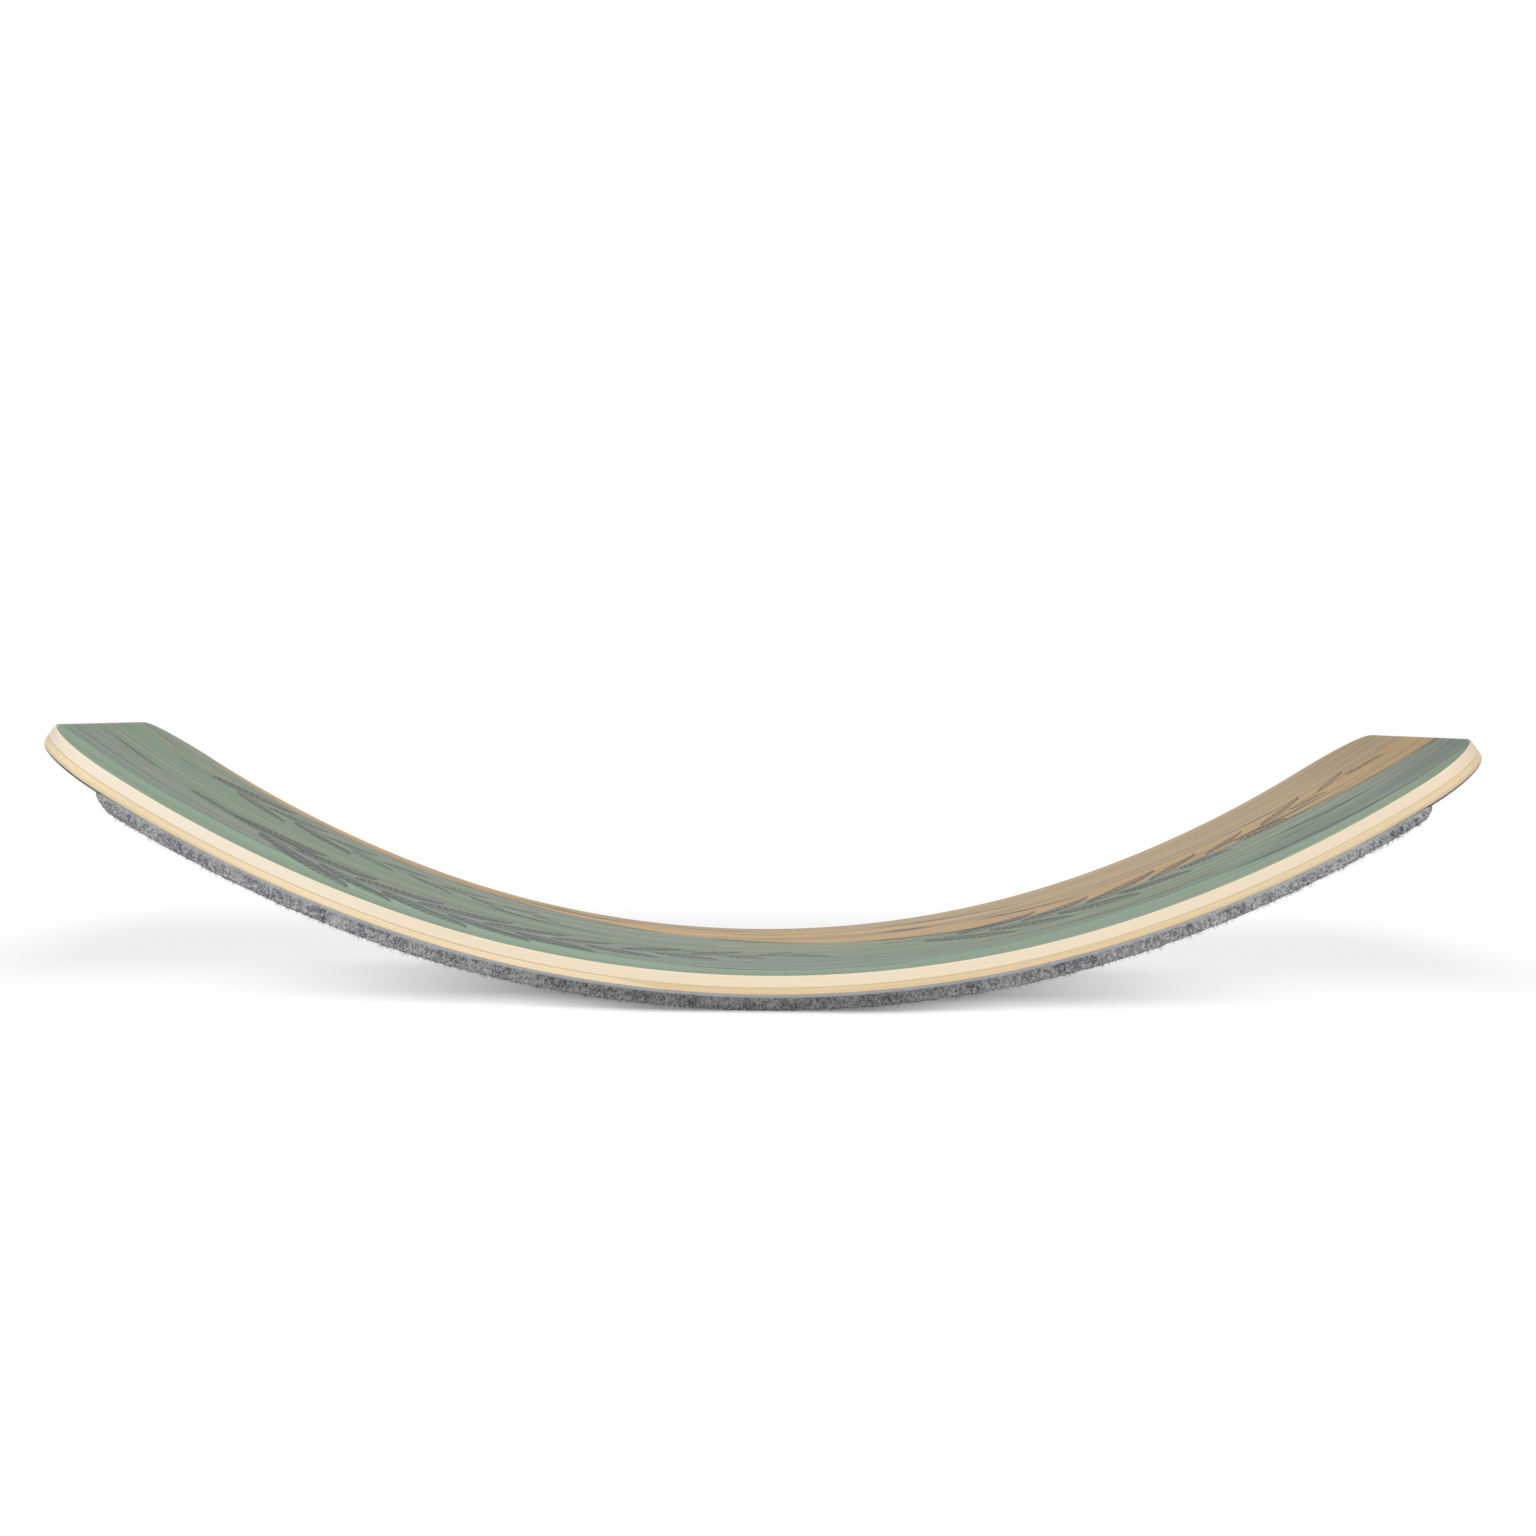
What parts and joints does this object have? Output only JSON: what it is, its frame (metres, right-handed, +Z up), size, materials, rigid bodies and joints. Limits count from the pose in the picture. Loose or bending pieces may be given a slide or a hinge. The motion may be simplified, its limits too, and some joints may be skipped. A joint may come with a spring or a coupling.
{
  "type": "curvy balance board",
  "caption": "Curved laminated wooden balance board with rounded corners, a printed top veneer and a felt sole, to rock, stand or sit on.",
  "frame": {"origin": "on the floor, under the middle of the felt sole", "axes": "+X along the board, +Y across it, +Z up"},
  "size_m": [0.801, 0.3, 0.1515],
  "materials": {
    "face_print": "matt lacquer over a print",
    "pale_ply": "sanded edge, clear oil",
    "honey_ply": "sanded edge, clear oil",
    "backing_stain": "dark stain, matt lacquer",
    "adhesive_film": "matt",
    "felt": "needled felt"
  },
  "bodies": {
    "root": {"face_veneer": "face_print", "pale_ply_1": "pale_ply", "pale_ply_2": "pale_ply", "pale_ply_3": "pale_ply", "pale_ply_4": "pale_ply", "honey_ply_1": "honey_ply", "honey_ply_2": "honey_ply", "honey_ply_3": "honey_ply", "backing_ply": "backing_stain", "felt_adhesive": "adhesive_film", "felt_sole": "felt"}
  },
  "joints": []
}
